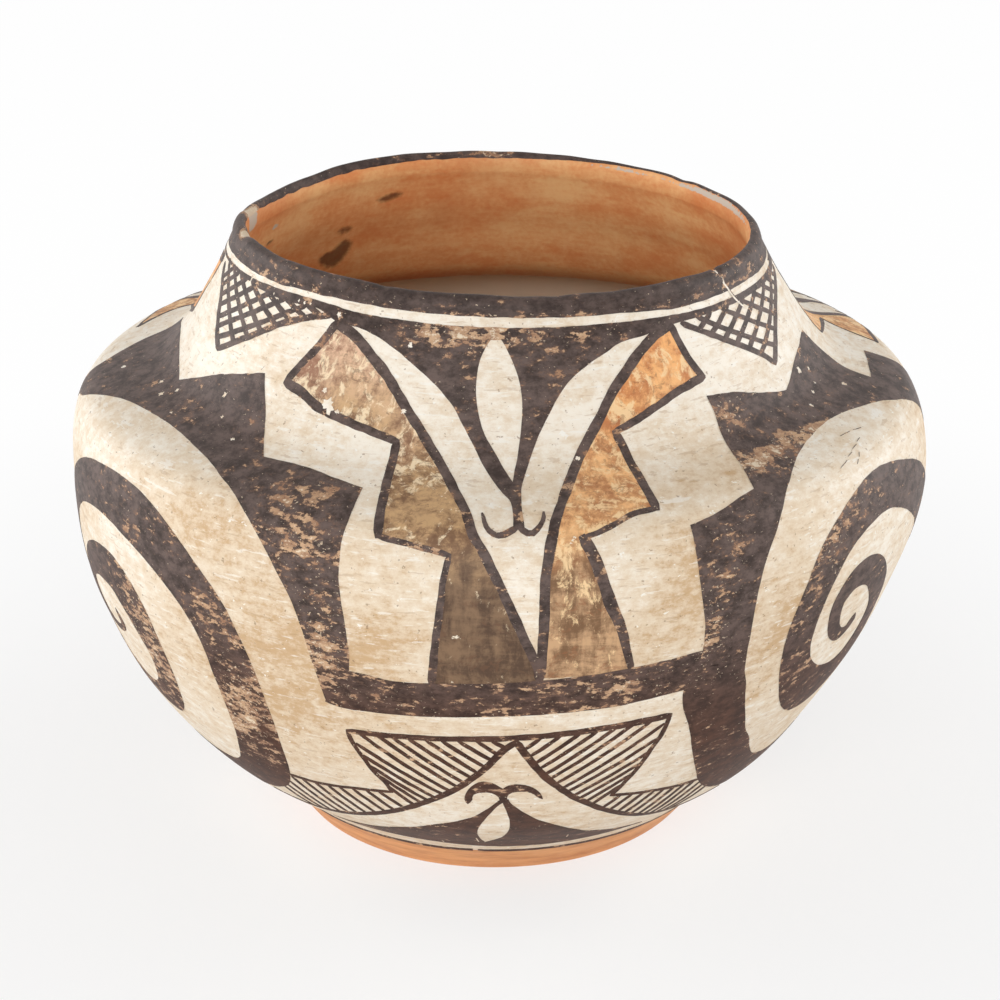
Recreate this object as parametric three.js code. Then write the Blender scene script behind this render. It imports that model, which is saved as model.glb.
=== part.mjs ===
// Coil-built pottery jar: a base pressed in a shallow mould, and coils of clay laid on it one by one.
// Millimetres, +Z up. The origin is the centre of the resting face, and the painted front faces -Y.
import * as THREE from 'three';

// Overall height of the jar, to the crest of a level lip.
const jarHeight = 178.4;

// Outside of the wall, from the resting face to the lip: the radius at each station,
// and how far that station rises above the one below it. The shoulder is set in from the belly,
// and the belly takes up what the other rises leave of the height.
const footRadius = 61;
const heelRadius = 69.5;
const heelRise = 11;
const lowerRadius = 93.5;
const lowerRise = 21.5;
const flankRadius = 114.7;
const flankRise = 34.5;
const bellyRadius = 125;
const shoulderInset = 5;
const shoulderRise = 23.5;
const neckRadius = 96;
const neckRise = 10.7;
const throatRadius = 83;
const throatRise = 18.3;
const mouthRadius = 75.6;
const mouthRise = 14.4;

// The rounded lip stands this far above the last station.
const lipRise = 4;

const risesBelowBelly = heelRise + lowerRise + flankRise;
const risesAboveBelly = shoulderRise + neckRise + throatRise + mouthRise + lipRise;
const bellyRise = jarHeight - risesBelowBelly - risesAboveBelly;

// Clay thickness of the wall and of the floor.
const wallThickness = 5.5;
const floorThickness = 8;

// Height of wall, measured along its outside, that the base brings up out of the mould.
const baseWall = 30;

// Each coil is pinched down over the inside of the one below: how much lower the joint lies inside.
const lapDrop = 7;

// The lip was pressed level by eye: it is low on the right, high on the left, and dips at the back left.
// Angles run round the mouth from the front, and are positive to the right.
const lipTilt = 2.4;
const lipLowAngle = THREE.MathUtils.degToRad(105);
const lipDip = 2.6;
const lipDipAngle = THREE.MathUtils.degToRad(-110);
const lipDipWidth = THREE.MathUtils.degToRad(26);

// Facets: round the axis, up one coil, and over the rounded lip.
const sidesRound = 60;
const stepsPerCoil = 3;
const lipSteps = 4;

// Coils from the base up. The last one carries the lip.
const coilNames = [
  'lower_wall_coil_1',
  'lower_wall_coil_2',
  'lower_wall_coil_3',
  'belly_coil_1',
  'belly_coil_2',
  'belly_coil_3',
  'shoulder_coil_1',
  'shoulder_coil_2',
  'neck_coil',
  'rim_coil',
];

// Slip and clay colours: bare clay at the foot, cream slip on the wall, dark paint at the lip.
const bareClay = { color: 0xb9824f, roughness: 0.85, metalness: 0 };
const creamSlip = { color: 0xdfd0b2, roughness: 0.6, metalness: 0 };
const darkLip = { color: 0x5a4a42, roughness: 0.65, metalness: 0 };

// The stations joined by one smooth curve, held as radius in x and height in y.
function wallCurve() {
  const stations = [
    [footRadius, 0],
    [heelRadius, heelRise],
    [lowerRadius, lowerRise],
    [flankRadius, flankRise],
    [bellyRadius, bellyRise],
    [bellyRadius - shoulderInset, shoulderRise],
    [neckRadius, neckRise],
    [throatRadius, throatRise],
    [mouthRadius, mouthRise],
  ];
  let height = 0;
  const points = stations.map(([radius, rise]) => {
    height += rise;
    return new THREE.Vector3(radius, height, 0);
  });
  return new THREE.CatmullRomCurve3(points, false, 'centripetal');
}

const wall = wallCurve();
const wallLength = wall.getLength();

// Distance along the outside of the wall to a joint. Joint 0 is the top of the base.
function jointAt(index) {
  return THREE.MathUtils.lerp(baseWall, wallLength, index / coilNames.length);
}

// A point on the outside of the wall, at a distance along it from the foot.
function outside(distance) {
  const point = wall.getPointAt(distance / wallLength);
  return new THREE.Vector2(point.x, point.y);
}

// The point straight through the clay from there, on the inside.
function inside(distance) {
  const along = wall.getTangentAt(distance / wallLength);
  return outside(distance).add(new THREE.Vector2(-along.y, along.x).multiplyScalar(wallThickness));
}

// Points of one face of the wall between two distances, both ends included.
function facePoints(face, from, to) {
  const points = [];
  for (let step = 0; step <= stepsPerCoil; step += 1) {
    points.push(face(THREE.MathUtils.lerp(from, to, step / stepsPerCoil)));
  }
  return points;
}

// The rounded lip, from the outside edge of the mouth over to the inside edge.
function lipPoints() {
  const edge = outside(wallLength);
  const points = [];
  for (let step = 1; step <= lipSteps; step += 1) {
    const turn = (Math.PI * step) / lipSteps;
    const radius = edge.x - wallThickness * 0.5 * (1 - Math.cos(turn));
    points.push(new THREE.Vector2(radius, edge.y + lipRise * Math.sin(turn)));
  }
  return points;
}

// Revolves a section about the axis, and stands the result upright with angle 0 at the front.
function revolve(section) {
  const geometry = new THREE.LatheGeometry(section, sidesRound);
  geometry.rotateX(Math.PI / 2);
  return geometry;
}

function makeMesh(name, geometry, finish) {
  const mesh = new THREE.Mesh(geometry, new THREE.MeshStandardMaterial(finish));
  mesh.name = name;
  return mesh;
}

// The base: a flat floor, the rounded heel and the first of the wall, up to the first joint.
function baseSection() {
  const heelEnd = Math.hypot(heelRadius - footRadius, heelRise);
  return [
    new THREE.Vector2(0, 0),
    ...facePoints(outside, 0, baseWall),
    ...facePoints(inside, baseWall - lapDrop, heelEnd),
    new THREE.Vector2(footRadius - wallThickness, floorThickness),
    new THREE.Vector2(0, floorThickness),
  ];
}

// A coil between two joints, which both slope down towards the inside.
function coilSection(bottom, top, lip) {
  const section = [
    ...facePoints(outside, bottom, top),
    ...lip,
    ...facePoints(inside, lip.length ? top : top - lapDrop, bottom - lapDrop),
  ];
  return [...section, section[0]];
}

// How far the uneven lip stands above or below level, at an angle round the mouth.
function lipLift(angle) {
  const offDip = Math.atan2(Math.sin(angle - lipDipAngle), Math.cos(angle - lipDipAngle));
  return -lipTilt * Math.cos(angle - lipLowAngle) - lipDip * Math.exp(-((offDip / lipDipWidth) ** 2));
}

// Raises and lowers the rim coil's upper part, and leaves its joint with the neck as it is.
function unevenLip(geometry, jointHeight, lipHeight) {
  const position = geometry.getAttribute('position');
  for (let i = 0; i < position.count; i += 1) {
    const share = Math.max(0, (position.getZ(i) - jointHeight) / (lipHeight - jointHeight));
    const angle = Math.atan2(position.getX(i), -position.getY(i));
    position.setZ(i, position.getZ(i) + share * lipLift(angle));
  }
  geometry.computeVertexNormals();
  return geometry;
}

function rimGeometry(bottom, top) {
  const geometry = revolve(coilSection(bottom, top, lipPoints()));
  return unevenLip(geometry, outside(bottom).y, outside(top).y);
}

const jar = new THREE.Group();
jar.add(makeMesh('puki_base', revolve(baseSection()), bareClay));
coilNames.forEach((name, index) => {
  const bottom = jointAt(index);
  const top = jointAt(index + 1);
  if (index < coilNames.length - 1) {
    jar.add(makeMesh(name, revolve(coilSection(bottom, top, [])), creamSlip));
  } else {
    jar.add(makeMesh(name, rimGeometry(bottom, top), darkLip));
  }
});

export default jar;
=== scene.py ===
import bisect
import math
import bpy
import bmesh
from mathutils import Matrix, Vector, noise


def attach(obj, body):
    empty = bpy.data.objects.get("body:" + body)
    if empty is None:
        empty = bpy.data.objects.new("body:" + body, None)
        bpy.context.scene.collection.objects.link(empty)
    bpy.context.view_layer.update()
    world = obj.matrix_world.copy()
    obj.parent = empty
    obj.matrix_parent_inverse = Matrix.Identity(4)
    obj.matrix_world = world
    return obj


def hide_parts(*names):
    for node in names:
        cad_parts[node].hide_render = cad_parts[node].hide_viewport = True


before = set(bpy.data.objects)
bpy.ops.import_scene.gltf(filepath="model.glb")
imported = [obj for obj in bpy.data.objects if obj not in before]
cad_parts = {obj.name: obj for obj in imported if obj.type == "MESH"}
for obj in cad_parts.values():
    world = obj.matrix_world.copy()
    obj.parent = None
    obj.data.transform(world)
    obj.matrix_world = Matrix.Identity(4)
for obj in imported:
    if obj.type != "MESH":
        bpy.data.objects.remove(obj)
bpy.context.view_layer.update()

mm = 0.001  # everything below is written in millimetres and degrees
scene = bpy.context.scene
scene.view_settings.view_transform = "Standard"


# the form of the jar

jarWall = {
    # outside radius and height at each station, foot to mouth
    "stations": [(61, 0), (69.5, 11), (93.5, 32.5), (114.7, 67), (125, 107.5),
                 (120, 131), (96, 141.7), (83, 160), (75.6, 174.4)],
    "top": 220.67,  # distance up the wall at the last station, as the painting counts it
    "clay": 5.5,  # thickness of the wall
    "inner": [(148, 0), (174, 4.6), (200, 0), (220.67, -1.2)],  # thicker under the neck, thinner at the lip
    "lipOuter": 2.6,  # the lip rounds over this far to its crest, and then down the inside
    "lipInner": 1.7,
    "lipRise": 4,  # crest of the lip above the last station
    "floor": 8,
    "baseWall": 30,  # wall that the moulded base brings up
    "lapDrop": 7,  # each coil joint lies this much lower inside
}

turning = {
    "curveStep": 0.25,  # fineness of the wall's curve
    "probe": 0.4,  # mm and degrees to either side that tell which way the wall faces
    "probeTurn": 0.3,
    "sides": 240,
    "ringStep": 1.1,
    "underRing": 30,  # one more ring in the underside and in the floor
    "floorRing": 25,
    "skin": 2.5,  # what lies deeper than this is the inside
    "outward": 0.05,  # faces that look out more than this have the outside slip
    "under": 0.5,  # and so have those lower than this, on the underside
    "sharp": 30,  # edges that turn by more degrees than this stay crisp
    "weld": 0.0005,
}

handForm = {
    # how far the jar leans in x at each height
    "sway": [(0, -0.2), (12, 0.3), (50, -1.7), (75, -1.2), (110, 1.2), (130, 0.6), (172, 0.6)],
    "tilt": 2.1,  # the lip is low on the right and high on the left
    "tiltAngle": 105,
    "tiltFrom": 148,  # height where the unevenness starts
    "dip": 3.1,  # thumb dip at the back left
    "dipAngle": -114,
    "dipWidth": 26,
    "wobble": 0.3,  # dents in the wall, and how fast they follow each other round and up the jar
    "dentsRound": 2.2,
    "dentRise": 34,
    "flatFloor": 40,  # radius inside which the dents die away
    "lipWobble": 0.35,
    "lipDents": 3.1,
    "lipDrop": 1.5,  # the lip's own unevenness starts this far below the mouth
    # angle, width and depth of nicks in the lip
    "nicks": [(-73, 3.2, 0.9), (-97, 2.0, 0.6), (53.4, 0.8, 0.7), (130, 2.5, 0.5), (-24, 1.6, 0.35),
              (12, 2.2, 0.3)],
}

coilNames = ["lower_wall_coil_1", "lower_wall_coil_2", "lower_wall_coil_3", "belly_coil_1", "belly_coil_2",
             "belly_coil_3", "shoulder_coil_1", "shoulder_coil_2", "neck_coil", "rim_coil"]

bellyRadius = max(radius for radius, height in jarWall["stations"])
degreeRun = bellyRadius * math.pi / 180  # mm round the belly per degree, to lay the painting out flat
splineSteps = 16


def curveThrough(points, step):  # smooth curve through given points, in even steps
    if len(points) == 2:
        knots = points
    else:
        knots = []
        first = [2 * a - b for a, b in zip(points[0], points[1])]
        last = [2 * a - b for a, b in zip(points[-1], points[-2])]
        padded = [first, *points, last]
        for index in range(len(points) - 1):
            p0, p1, p2, p3 = padded[index:index + 4]
            gaps = [max(math.dist(a, b), 1e-6) ** 0.5 for a, b in ((p0, p1), (p1, p2), (p2, p3))]
            for share in range(splineSteps):
                knots.append(curvePoint(p0, p1, p2, p3, gaps, share / splineSteps))
        knots.append(tuple(points[-1]))
    lengths = [0.0]
    for a, b in zip(knots, knots[1:]):
        lengths.append(lengths[-1] + math.dist(a, b))
    count = max(1, round(lengths[-1] / step))
    return [along(knots, lengths, lengths[-1] * index / count) for index in range(count + 1)]


def curvePoint(p0, p1, p2, p3, gaps, share):  # centripetal spline between p1 and p2
    point = []
    for a, b, c, d in zip(p0, p1, p2, p3):
        leave = ((b - a) / gaps[0] - (c - a) / (gaps[0] + gaps[1]) + (c - b) / gaps[1]) * gaps[1]
        arrive = ((c - b) / gaps[1] - (d - b) / (gaps[1] + gaps[2]) + (d - c) / gaps[2]) * gaps[1]
        bend = -3 * b + 3 * c - 2 * leave - arrive
        twist = 2 * b - 2 * c + leave + arrive
        point.append(b + leave * share + bend * share ** 2 + twist * share ** 3)
    return tuple(point)


def along(points, lengths, distance):  # point at a distance along a measured line
    index = min(max(bisect.bisect_right(lengths, distance) - 1, 0), len(points) - 2)
    span = max(lengths[index + 1] - lengths[index], 1e-9)
    share = (distance - lengths[index]) / span
    return tuple(a + (b - a) * share for a, b in zip(points[index], points[index + 1]))


def valueAt(table, place):  # smooth value from a short table of (place, value)
    if place <= table[0][0]:
        return table[0][1]
    for (a, low), (b, high) in zip(table, table[1:]):
        if place <= b:
            share = (place - a) / (b - a)
            return low + (high - low) * share * share * (3 - 2 * share)
    return table[-1][1]


wallLine = curveThrough(jarWall["stations"], turning["curveStep"])
wallLength = jarWall["top"]
footReach = wallLength - sum(math.dist(here, there) for here, there in zip(wallLine, wallLine[1:]))
wallReach = [footReach]
for here, there in zip(wallLine, wallLine[1:]):
    wallReach.append(wallReach[-1] + math.dist(here, there))
lipClay = jarWall["lipOuter"] + jarWall["lipInner"]
lipLength = math.pi * (lipClay / 2 + jarWall["lipRise"]) / 2
lipCrest = wallLength + lipLength / 2


def outsideAt(distance):  # radius, height and outward direction on the outside of the wall
    radius, height = along(wallLine, wallReach, distance)
    before = along(wallLine, wallReach, max(distance - turning["probe"], footReach))
    after = along(wallLine, wallReach, min(distance + turning["probe"], wallLength))
    run = math.dist(before, after)
    return radius, height, (after[1] - before[1]) / run, (before[0] - after[0]) / run


def insideAt(distance):
    radius, height, outR, outZ = outsideAt(distance)
    clay = jarWall["clay"] + valueAt(jarWall["inner"], distance)
    return radius - outR * clay, height - outZ * clay, -outR, -outZ


def sectionAt(distance):  # outside of the wall, then over the lip and down the inside
    if distance <= wallLength:
        return outsideAt(distance)
    over = (distance - wallLength) / lipLength
    if over >= 1:
        return insideAt(wallLength - (distance - wallLength - lipLength))
    edge = outsideAt(wallLength)
    turn = math.pi * over
    run = jarWall["lipOuter"] if over < 0.5 else jarWall["lipInner"]
    outR = math.cos(turn) / run
    outZ = math.sin(turn) / jarWall["lipRise"]
    size = math.hypot(outR, outZ)
    radius = edge[0] - jarWall["lipOuter"] + run * math.cos(turn)
    return radius, edge[1] + jarWall["lipRise"] * math.sin(turn), outR / size, outZ / size


def around(angle, centre):  # shortest way round from one angle to another
    return (angle - centre + 180) % 360 - 180


def handMade(angle, radius, height):  # a point of the true section, moved as the potter's hands left it
    mouth = jarWall["stations"][-1][1]
    share = min(max(0, (height - handForm["tiltFrom"]) / (mouth - handForm["tiltFrom"])), 1)
    lift = -handForm["tilt"] * math.cos(math.radians(angle - handForm["tiltAngle"]))
    lift -= handForm["dip"] * math.exp(-((around(angle, handForm["dipAngle"]) / handForm["dipWidth"]) ** 2))
    lip = max(0, height - mouth + handForm["lipDrop"]) / (jarWall["lipRise"] + handForm["lipDrop"])
    for centre, width, depth in handForm["nicks"]:
        lift -= lip * depth * math.exp(-((around(angle, centre) / width) ** 2))
    turn = math.radians(angle)
    dents = handForm["dentsRound"]
    feel = Vector((math.sin(turn) * dents, math.cos(turn) * dents, height / handForm["dentRise"]))
    radius += handForm["wobble"] * noise.noise(feel) * min(radius / handForm["flatFloor"], 1)
    lift += handForm["lipWobble"] * lip * noise.noise(feel * handForm["lipDents"])
    x = radius * math.sin(turn) + valueAt(handForm["sway"], height)
    return Vector((x, -radius * math.cos(turn), height + share * lift)) * mm


def wallPoint(angle, distance, lift):  # where a point of the painting lies on the jar
    radius, height, outR, outZ = sectionAt(distance)
    return handMade(angle, radius + outR * lift, height + outZ * lift)


def wallNormal(angle, distance):
    here = wallPoint(angle, distance, 0)
    right = wallPoint(angle + turning["probeTurn"], distance, 0) - here
    up = wallPoint(angle, distance + turning["probe"], 0) - here
    return right.cross(up).normalized()


# materials

def screen(red, green, blue):  # colour as seen on a screen, 0 to 255
    parts = []
    for part in (red / 255, green / 255, blue / 255):
        parts.append(part / 12.92 if part <= 0.04045 else ((part + 0.055) / 1.055) ** 2.4)
    return (*parts, 1.0)


def startMaterial(name, roughness, gloss=0.35):
    material = bpy.data.materials.new(name)
    material.use_nodes = True
    shader = material.node_tree.nodes["Principled BSDF"]
    shader.inputs["Roughness"].default_value = roughness
    shader.inputs["Specular IOR Level"].default_value = gloss
    return material, material.node_tree, shader


def grain(tree, scale, stretch=(1, 1, 1), detail=4, offset=0.0, rough=0.6, swirl=0.0):  # soft noise
    place = tree.nodes.new("ShaderNodeTexCoord")
    mapping = tree.nodes.new("ShaderNodeMapping")
    mapping.inputs["Scale"].default_value = stretch
    mapping.inputs["Location"].default_value = (offset, offset * 0.7, offset * 1.3)
    texture = tree.nodes.new("ShaderNodeTexNoise")
    texture.inputs["Scale"].default_value = scale
    texture.inputs["Detail"].default_value = detail
    texture.inputs["Roughness"].default_value = rough
    texture.inputs["Distortion"].default_value = swirl
    tree.links.new(place.outputs["Object"], mapping.inputs["Vector"])
    tree.links.new(mapping.outputs["Vector"], texture.inputs["Vector"])
    return texture.outputs["Fac"]


def ramp(tree, value, low, high, top=1.0, bottom=0.0):  # soft step from bottom to top between low and high
    step = tree.nodes.new("ShaderNodeMapRange")
    step.interpolation_type = "SMOOTHSTEP"
    step.inputs["From Min"].default_value = low
    step.inputs["From Max"].default_value = high
    step.inputs["To Min"].default_value = bottom
    step.inputs["To Max"].default_value = top
    tree.links.new(value, step.inputs["Value"])
    return step.outputs["Result"]


def sums(tree, operation, first, second):
    node = tree.nodes.new("ShaderNodeMath")
    node.operation = operation
    for socket, value in zip(node.inputs, (first, second)):
        if isinstance(value, (int, float)):
            socket.default_value = value
        else:
            tree.links.new(value, socket)
    return node.outputs["Value"]


def weighed(tree, *parts):  # sum of (value, weight)
    total = 0.0
    for value, weight in parts:
        total = sums(tree, "ADD", sums(tree, "MULTIPLY", value, weight), total)
    return total


def tint(tree, factor, first, second):  # mix of two colours, each a screen colour or a socket
    mix = tree.nodes.new("ShaderNodeMix")
    mix.data_type = "RGBA"
    tree.links.new(factor, mix.inputs[0])
    for socket, value in ((mix.inputs[6], first), (mix.inputs[7], second)):
        if isinstance(value, tuple):
            socket.default_value = screen(*value)
        else:
            tree.links.new(value, socket)
    return mix.outputs[2]


def layers(tree, colour, *parts):  # tones over a colour, each where a value passes from low to high
    for value, low, high, amount, tone in parts:
        colour = tint(tree, ramp(tree, value, low, high, amount), colour, tone)
    return colour


def painted(tree, name):  # amount painted on the mesh, such as wear or stain
    node = tree.nodes.new("ShaderNodeAttribute")
    node.attribute_name = name
    return node.outputs["Fac"]


def heightOf(tree):
    place = tree.nodes.new("ShaderNodeTexCoord")
    split = tree.nodes.new("ShaderNodeSeparateXYZ")
    tree.links.new(place.outputs["Object"], split.inputs["Vector"])
    return split.outputs["Z"]


def relief(tree, shader, value, strength, depth):
    bump = tree.nodes.new("ShaderNodeBump")
    bump.inputs["Strength"].default_value = strength
    bump.inputs["Distance"].default_value = depth * mm
    tree.links.new(value, bump.inputs["Height"])
    tree.links.new(bump.outputs["Normal"], shader.inputs["Normal"])


def creamSlip():
    material, tree, shader = startMaterial("cream_slip", 0.55)
    streak = grain(tree, 1, (70, 70, 460), 6, rough=0.65)
    mottle = grain(tree, 250, (1, 1, 1.5), 8, 3.0, rough=0.78)
    patch = grain(tree, 22, (1, 1, 1.8), 4, 7.0)
    wiped = grain(tree, 1, (120, 120, 900), 4, 4.0)
    low = ramp(tree, heightOf(tree), 0.15, 0.095)
    stain = painted(tree, "stain")
    warm = weighed(tree, (streak, 0.2), (mottle, 0.52), (patch, 0.32), (low, 0.05), (stain, 0.13))
    colour = tint(tree, ramp(tree, warm, 0.44, 0.62), (248, 239, 224), (229, 209, 182))
    pits = grain(tree, 760, detail=2, offset=1.0)
    flakes = grain(tree, 420, (1, 1, 1.5), 4, 5.0)
    colour = layers(tree, colour,
                    (warm, 0.59, 0.73, 0.8, (198, 160, 114)),
                    (wiped, 0.6, 0.65, 0.5, (250, 246, 238)),
                    (wiped, 0.39, 0.34, 0.35, (180, 144, 104)),
                    (pits, 0.67, 0.72, 0.6, (146, 112, 80)),
                    (flakes, 0.66, 0.7, 0.8, (252, 248, 240)))
    foot = weighed(tree, (heightOf(tree), 1.0), (grain(tree, 160), 0.0025))
    smear = grain(tree, 1, (40, 40, 300), 6, 2.0, rough=0.7)
    clay = tint(tree, ramp(tree, smear, 0.36, 0.66), (234, 174, 120), (204, 140, 92))
    colour = tint(tree, ramp(tree, foot, 0.0112, 0.0118), clay, colour)
    tree.links.new(colour, shader.inputs["Base Color"])
    tree.links.new(ramp(tree, warm, 0.4, 0.7, 0.68, 0.46), shader.inputs["Roughness"])
    relief(tree, shader, warm, 0.3, 0.25)
    return material


def insideSlip():
    material, tree, shader = startMaterial("inside_slip", 0.6)
    mottle = grain(tree, 60, (1, 1, 1.8), 8, rough=0.74)
    wipe = grain(tree, 1, (18, 18, 150), 6, 4.0, rough=0.68)
    fine = grain(tree, 620, detail=3, offset=8.0)
    both = weighed(tree, (mottle, 0.45), (wipe, 0.35), (fine, 0.2))
    colour = tint(tree, ramp(tree, both, 0.38, 0.62), (255, 204, 142), (240, 158, 98))
    # painted shade: the rust tone grows towards the top of the inside, where the lamps light it most; the
    # rest of the rust is the clay's own mottling
    topShade = ramp(tree, heightOf(tree), 0.155, 0.178)
    rustAndTopShade = weighed(tree, (grain(tree, 18, detail=5, offset=2.0), 0.8), (both, 0.2), (topShade, 0.04))
    bare = weighed(tree, (painted(tree, "bare"), 1.0), (mottle, 0.3), (fine, 0.5))
    edge = weighed(tree, (heightOf(tree), 1.0), (mottle, 0.006))
    soot = weighed(tree, (painted(tree, "stain"), 1.0), (mottle, 0.5), (fine, 0.3))
    colour = layers(tree, colour,
                    (rustAndTopShade, 0.4, 0.68, 0.75, (222, 128, 72)),
                    (bare, 0.72, 0.8, 1.0, (212, 197, 180)),
                    # painted shade: a darker brown just above the pale band, where the inner wall turns to
                    # face down
                    (edge, 0.141, 0.134, 0.4, (146, 84, 50)))
    colour = tint(tree, ramp(tree, edge, 0.1308, 0.1338), (224, 206, 184), colour)
    colour = layers(tree, colour, (soot, 0.6, 1.1, 0.8, (84, 50, 32)))
    tree.links.new(colour, shader.inputs["Base Color"])
    relief(tree, shader, both, 0.35, 0.4)
    return material


def blackPaint():
    material, tree, shader = startMaterial("black_paint", 0.55, 0.18)
    flake = grain(tree, 250, (1, 1, 2.2), 6, rough=0.62)
    tiny = grain(tree, 1000, (1, 1, 1.4), 2, 9.0)
    broad = grain(tree, 46, (1, 1, 1.3), 3, 6.0)
    tone = grain(tree, 190, (1, 1, 1.6), 8, 2.0, rough=0.75)
    low = ramp(tree, heightOf(tree), 0.112, 0.06)
    wear = weighed(tree, (flake, 0.8), (tiny, 0.2), (broad, 0.3), (painted(tree, "wear"), 0.2),
                   (painted(tree, "edge"), 0.04))
    base = tint(tree, ramp(tree, tone, 0.36, 0.64), (62, 51, 47), (107, 91, 85))
    umber = tint(tree, ramp(tree, tone, 0.36, 0.64), (56, 33, 23), (88, 56, 41))
    under = tint(tree, ramp(tree, tone, 0.38, 0.62), (204, 168, 134), (156, 118, 92))
    colour = tint(tree, low, base, umber)
    speck = weighed(tree, (grain(tree, 900, (1, 1, 1.6), 3, 13.0, rough=0.7), 1.0),
                    (painted(tree, "wear"), 0.12), (painted(tree, "edge"), 0.03))
    colour = layers(tree, colour,
                    # painted shade: the black is darker towards the top of the neck and over the lip, where
                    # the front lamp lights it most
                    (heightOf(tree), 0.163, 0.172, 0.3, (44, 32, 28)),
                    (wear, 0.7, 0.775, 0.5, (122, 94, 78)),
                    (wear, 0.775, 0.795, 1.0, under),
                    (wear, 0.87, 0.92, 0.85, (234, 219, 194)),
                    (speck, 0.685, 0.715, 0.9, (222, 200, 172)))
    tree.links.new(colour, shader.inputs["Base Color"])
    relief(tree, shader, weighed(tree, (wear, -0.6), (tiny, 0.4)), 0.25, 0.2)
    return material


brownWash = {
    # light and dark tone of the top, the middle and the leg of a figure
    "tones": [((232, 194, 162), (156, 112, 88)), ((202, 164, 120), (124, 92, 66)),
              ((134, 106, 80), (84, 62, 46))],
    "pale": (248, 226, 190),  # strokes that are rubbed thin
    "dark": (112, 80, 58),  # strokes that lie thick
    "flecks": 0.67,
    "leg": 0.146,  # height where the leg's tones begin
    "calm": 0.0,  # how much of the pale strokes there is in the leg
}

orangeWash = {
    "tones": [((248, 184, 118), (202, 126, 75)), ((248, 194, 136), (186, 127, 83)),
              ((204, 164, 124), (122, 90, 62))],
    "pale": (250, 216, 166),
    "dark": (150, 98, 64),
    "flecks": 0.68,
    "leg": 0.152,
    "calm": 0.5,
}


def washPaint(name, wash):
    material, tree, shader = startMaterial(name, 0.6)
    mottle = grain(tree, 130, (1, 1, 0.8), 9, rough=0.76, swirl=0.5)
    broad = grain(tree, 34, detail=4, offset=3.0)
    upright = grain(tree, 1, (330, 330, 64), 6, 5.0, rough=0.7, swirl=0.4)
    level = grain(tree, 1, (54, 54, 280), 7, 6.0, rough=0.72, swirl=0.4)
    height = weighed(tree, (heightOf(tree), 1.0), (broad, 0.045))
    marks = weighed(tree, (mottle, 0.4), (broad, 0.17), (upright, 0.3), (level, 0.28))
    shades = [tint(tree, ramp(tree, marks, 0.49, 0.64), *pair) for pair in wash["tones"]]
    colour = tint(tree, ramp(tree, height, 0.158, 0.186), shades[1], shades[0])
    colour = tint(tree, ramp(tree, height, wash["leg"] - 0.006, wash["leg"] + 0.006), shades[2], colour)
    lively = ramp(tree, height, 0.146, 0.16, 1.0, wash["calm"])
    strokes = grain(tree, 260, (1, 1, 0.6), 8, 8.0, rough=0.74, swirl=0.5)
    rubbed = weighed(tree, (strokes, 0.8), (broad, 0.2), (lively, 0.075))
    thick = weighed(tree, (grain(tree, 230, (1, 1, 1.4), 7, 12.0, rough=0.72, swirl=0.8), 0.8), (level, 0.2))
    flake = grain(tree, 240, detail=5, offset=9.0, rough=0.65)
    colour = layers(tree, colour,
                    (rubbed, 0.56, 0.635, 0.85, wash["pale"]),
                    (thick, 0.55, 0.59, 0.5, wash["dark"]),
                    (flake, wash["flecks"], wash["flecks"] + 0.03, 1.0, (240, 228, 206)))
    tree.links.new(colour, shader.inputs["Base Color"])
    relief(tree, shader, marks, 0.25, 0.2)
    return material


print("materials")
insideSkin = insideSlip()
skins = {
    "cream_slip": creamSlip(),
    "black_paint": blackPaint(),
    "brown_paint": washPaint("brown_paint", brownWash),
    "orange_paint": washPaint("orange_paint", orangeWash),
}


# clay coils

# soft spots of (angle, distance, width, height, amount)
stainSpots = [(-38, 150, 16, 14, 0.8), (-26, 116, 10, 22, 1.0), (-12, 122, 6, 18, 0.5),
              (35, 171, 4, 7, 0.6), (26, 144, 5, 14, 0.6), (40, 132, 6, 16, 0.4), (38, 110, 6, 16, 0.6),
              (14, 170, 8, 8, 0.7), (20, 138, 7, 18, 0.5), (82, 150, 9, 14, 0.6), (104, 112, 7, 18, 0.5),
              (150, 122, 10, 18, 0.6), (196, 152, 10, 12, 0.6), (224, 110, 8, 18, 0.5),
              (-74, 140, 9, 12, 0.5), (-104, 100, 8, 18, 0.6)]

# the same on the inside, with the height in place of the distance
insideSpots = {
    "soot": [(-142, 144.6, 2.6, 3.2, 1.0), (-144, 148.9, 1.8, 2.6, 1.0), (-139.5, 146, 1.6, 1.6, 0.8),
             (-143, 155.3, 2.2, 1.8, 0.6), (-116, 161.3, 1.4, 1.1, 0.8), (-154.6, 165.4, 2.2, 1.3, 0.7),
             (-151.6, 164.4, 2.0, 1.3, 0.7), (-172, 173.6, 7, 0.7, 0.45)],
    "chips": [(-97, 174.6, 4.4, 3.0, 1.0), (-116, 167, 1.2, 1.2, 0.8), (114, 177.2, 26, 1.1, 0.6),
              (150, 177.3, 10, 0.8, 0.4)],
}

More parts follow.
